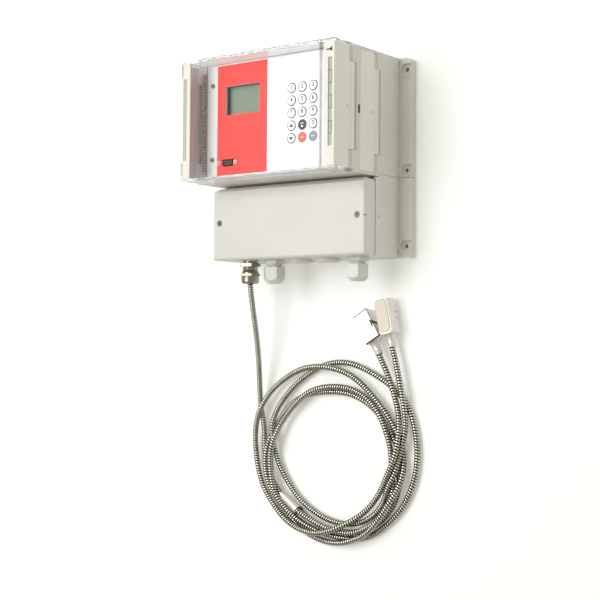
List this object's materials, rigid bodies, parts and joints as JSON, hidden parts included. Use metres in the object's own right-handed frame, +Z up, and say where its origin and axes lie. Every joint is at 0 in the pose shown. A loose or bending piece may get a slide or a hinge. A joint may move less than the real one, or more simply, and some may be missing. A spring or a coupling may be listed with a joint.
{
  "type": "ultrasonic flow meter",
  "caption": "Wall-mounted ultrasonic flow meter: hinged keypad panel behind a clear cover, terminal compartment, clamp-on transducers on armoured conduit.",
  "frame": {"origin": "centre of the four corner fixing holes, on the wall plane", "axes": "+X to the right along the front, +Y into the wall, +Z up, so the front faces -Y"},
  "size_m": [0.265, 0.146, 0.5945],
  "materials": {
    "black": "black plastic",
    "board": "solder resist",
    "clamp": "green plastic",
    "clear": "clear moulded plastic",
    "coil": "loops of interlocked steel hose, at the low bulk density of a coil",
    "gland": "pale grey plastic",
    "hose": "interlocked steel hose",
    "housing": "light warm grey, fine satin texture",
    "insert": "rubber",
    "key": "white key",
    "keydark": "dark key",
    "keygrey": "grey key",
    "keyred": "red key",
    "lcd": "grey-green liquid crystal display",
    "nickel": "nickel plated brass",
    "pad": "cream coupling plastic",
    "pane": "clear pane",
    "parts": "electronic parts",
    "red": "red printed foil",
    "seal": "soft foam rubber",
    "stainless": "ground stainless steel",
    "steel": "zinc plated steel",
    "strip": "light warm grey, satin",
    "white": "off-white printed foil"
  },
  "bodies": {
    "housing": {"base_upper": "housing", "base_lower": "housing", "base_hinge_pins": "steel", "door_seal": "seal", "main_board": "board", "power_module": "black", "board_parts": "parts", "terminal_board": "board", "terminal_blocks": "clamp", "terminal_cover": "housing", "terminal_cover_screws": "steel", "conduit_gland_body": "nickel", "conduit_gland_cap": "nickel", "cable_gland_bodies": "gland", "cable_gland_caps": "gland", "cable_gland_inserts": "insert", "blanking_plugs": "housing", "gland_locknuts": "steel", "main_conduit": "hose", "conduit_coil": "coil", "splitter_ferrule": "nickel", "branch_conduit_left": "hose", "branch_conduit_right": "hose", "transducer_left": "stainless", "transducer_right": "stainless", "coupling_pads": "pad"},
    "door": {"door_frame": "housing", "door_hinge_strip": "strip", "side_combs": "strip", "panel_plate": "housing", "display_foil": "red", "keypad_foil": "white", "panel_screws": "steel", "display_window": "pane", "display_module": "lcd", "display_board": "board", "keypad_board": "board", "service_connector": "black", "connector_screws": "steel", "cover_hinge_pins": "steel", "cover_seal": "seal"},
    "door_latch": {"door_latch_strip": "strip"},
    "cover": {"clear_cover": "clear", "cover_hinge_strip": "strip"},
    "cover_latch": {"cover_latch_strip": "strip"},
    "key_1_body": {"key_1": "key"},
    "key_2_body": {"key_2": "key"},
    "key_3_body": {"key_3": "key"},
    "key_4_body": {"key_4": "key"},
    "key_5_body": {"key_5": "key"},
    "key_6_body": {"key_6": "key"},
    "key_7_body": {"key_7": "key"},
    "key_8_body": {"key_8": "key"},
    "key_9_body": {"key_9": "key"},
    "key_up_body": {"key_up": "key"},
    "key_enter_body": {"key_enter": "keydark"},
    "key_0_body": {"key_0": "key"},
    "key_down_body": {"key_down": "key"},
    "key_clear_body": {"key_clear": "keyred"},
    "key_menu_body": {"key_menu": "keygrey"}
  },
  "joints": [
    {"name": "door_hinge", "type": "hinge", "parent": "housing", "child": "door", "pos_m": [-0.1103, -0.0573, 0.0475], "axis": [0, 0, -1], "range_deg": [0, 90]},
    {"name": "cover_hinge", "type": "hinge", "parent": "door", "child": "cover", "pos_m": [-0.1103, -0.1069, 0.0475], "axis": [0, 0, -1], "range_deg": [0, 90]},
    {"name": "door_latch_pivot", "type": "hinge", "parent": "door", "child": "door_latch", "pos_m": [0.11225, -0.09345, 0.0475], "axis": [0, 0, -1], "range_deg": [0, 30]},
    {"name": "cover_latch_pivot", "type": "hinge", "parent": "cover", "child": "cover_latch", "pos_m": [0.10005, -0.14475, 0.0475], "axis": [0, 0, -1], "range_deg": [0, 30]},
    {"name": "key_1_press", "type": "slide", "parent": "door", "child": "key_1_body", "axis": [0, 1, 0], "range_m": [0, 0.0004], "stiffness_N_per_m": 1500},
    {"name": "key_2_press", "type": "slide", "parent": "door", "child": "key_2_body", "axis": [0, 1, 0], "range_m": [0, 0.0004], "stiffness_N_per_m": 1500},
    {"name": "key_3_press", "type": "slide", "parent": "door", "child": "key_3_body", "axis": [0, 1, 0], "range_m": [0, 0.0004], "stiffness_N_per_m": 1500},
    {"name": "key_4_press", "type": "slide", "parent": "door", "child": "key_4_body", "axis": [0, 1, 0], "range_m": [0, 0.0004], "stiffness_N_per_m": 1500},
    {"name": "key_5_press", "type": "slide", "parent": "door", "child": "key_5_body", "axis": [0, 1, 0], "range_m": [0, 0.0004], "stiffness_N_per_m": 1500},
    {"name": "key_6_press", "type": "slide", "parent": "door", "child": "key_6_body", "axis": [0, 1, 0], "range_m": [0, 0.0004], "stiffness_N_per_m": 1500},
    {"name": "key_7_press", "type": "slide", "parent": "door", "child": "key_7_body", "axis": [0, 1, 0], "range_m": [0, 0.0004], "stiffness_N_per_m": 1500},
    {"name": "key_8_press", "type": "slide", "parent": "door", "child": "key_8_body", "axis": [0, 1, 0], "range_m": [0, 0.0004], "stiffness_N_per_m": 1500},
    {"name": "key_9_press", "type": "slide", "parent": "door", "child": "key_9_body", "axis": [0, 1, 0], "range_m": [0, 0.0004], "stiffness_N_per_m": 1500},
    {"name": "key_up_press", "type": "slide", "parent": "door", "child": "key_up_body", "axis": [0, 1, 0], "range_m": [0, 0.0004], "stiffness_N_per_m": 1500},
    {"name": "key_enter_press", "type": "slide", "parent": "door", "child": "key_enter_body", "axis": [0, 1, 0], "range_m": [0, 0.0004], "stiffness_N_per_m": 1500},
    {"name": "key_0_press", "type": "slide", "parent": "door", "child": "key_0_body", "axis": [0, 1, 0], "range_m": [0, 0.0004], "stiffness_N_per_m": 1500},
    {"name": "key_down_press", "type": "slide", "parent": "door", "child": "key_down_body", "axis": [0, 1, 0], "range_m": [0, 0.0004], "stiffness_N_per_m": 1500},
    {"name": "key_clear_press", "type": "slide", "parent": "door", "child": "key_clear_body", "axis": [0, 1, 0], "range_m": [0, 0.0004], "stiffness_N_per_m": 1500},
    {"name": "key_menu_press", "type": "slide", "parent": "door", "child": "key_menu_body", "axis": [0, 1, 0], "range_m": [0, 0.0004], "stiffness_N_per_m": 1500}
  ]
}
